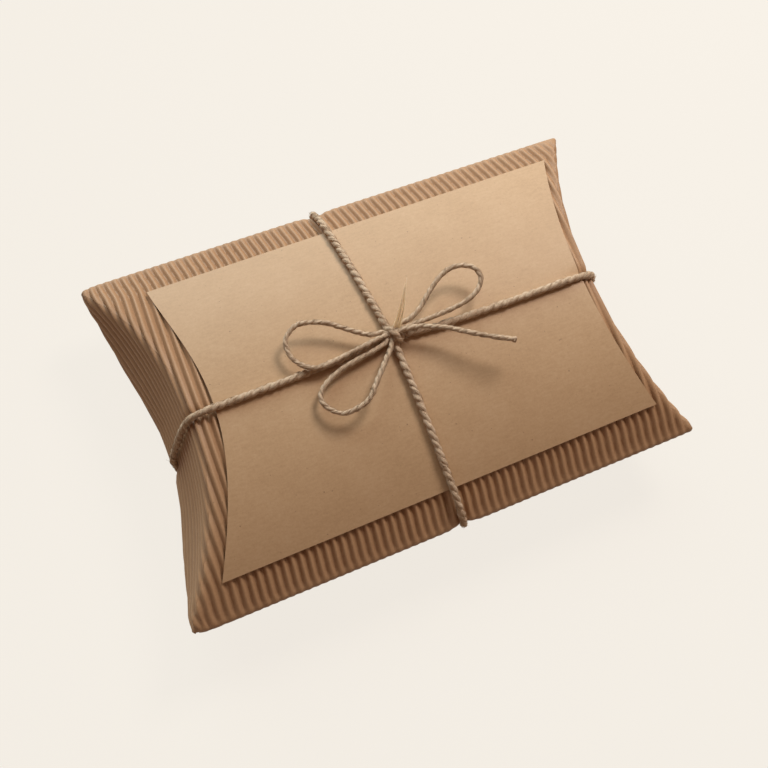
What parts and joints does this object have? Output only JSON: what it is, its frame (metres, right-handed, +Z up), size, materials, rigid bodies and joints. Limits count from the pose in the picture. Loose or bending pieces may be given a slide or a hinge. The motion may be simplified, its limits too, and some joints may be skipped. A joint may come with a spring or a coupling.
{
  "type": "favor box",
  "caption": "Pillow-shaped favor box of corrugated kraft board with bowed panels, hinged curved end flaps, a smooth label sheet and twine tied both ways in a bow.",
  "frame": {"origin": "middle of the bounding box in plan, at its lowest level, under the crossing of the twine", "axes": "+X along the box to the right end, +Y across it to the far side, +Z up through the labelled panel"},
  "size_m": [0.1554, 0.1098, 0.0494],
  "materials": {
    "liner": "matte kraft liner",
    "flutes": "matte fluted kraft paper",
    "label": "smooth matte kraft paper",
    "glue": "dried adhesive",
    "twine": "rough twisted jute"
  },
  "bodies": {
    "box": {"top_liner": "liner", "top_flutes": "flutes", "bottom_liner": "liner", "bottom_flutes": "flutes", "glue_tab": "liner", "tab_glue": "glue", "label_sheet": "label", "label_glue": "glue", "twine_top_left": "twine", "twine_top_right": "twine", "twine_bottom_long": "twine", "twine_top_far": "twine", "twine_top_near": "twine", "twine_bottom_cross": "twine", "bow_knot": "twine", "bow_loop_left": "twine", "bow_loop_near": "twine", "bow_loop_right": "twine", "bow_tail_long": "twine", "bow_tail_short": "twine"},
    "left_outer_flap": {"left_outer_flap_liner": "liner", "left_outer_flap_flutes": "flutes", "twine_left_end": "twine"},
    "left_inner_flap": {"left_inner_flap_liner": "liner", "left_inner_flap_flutes": "flutes"},
    "right_outer_flap": {"right_outer_flap_liner": "liner", "right_outer_flap_flutes": "flutes", "twine_right_end": "twine"},
    "right_inner_flap": {"right_inner_flap_liner": "liner", "right_inner_flap_flutes": "flutes"}
  },
  "joints": [
    {"name": "left_outer_flap_fold", "type": "hinge", "parent": "box", "child": "left_outer_flap", "pos_m": [-0.0577, 0, 0.03364], "axis": [0, 1, 0], "range_deg": [0, 85]},
    {"name": "left_inner_flap_fold", "type": "hinge", "parent": "box", "child": "left_inner_flap", "pos_m": [-0.06631, 0, 0.00564], "axis": [0, -1, 0], "range_deg": [0, 68]},
    {"name": "right_outer_flap_fold", "type": "hinge", "parent": "box", "child": "right_outer_flap", "pos_m": [0.064, 0, 0.03364], "axis": [0, -1, 0], "range_deg": [0, 90]},
    {"name": "right_inner_flap_fold", "type": "hinge", "parent": "box", "child": "right_inner_flap", "pos_m": [0.0621, 0, 0.00564], "axis": [0, 1, 0], "range_deg": [0, 72]}
  ],
  "couplings": [
    {"joint": "left_inner_flap_fold", "follows": "left_outer_flap_fold", "ratio": 0.8},
    {"joint": "right_inner_flap_fold", "follows": "right_outer_flap_fold", "ratio": 0.8}
  ]
}
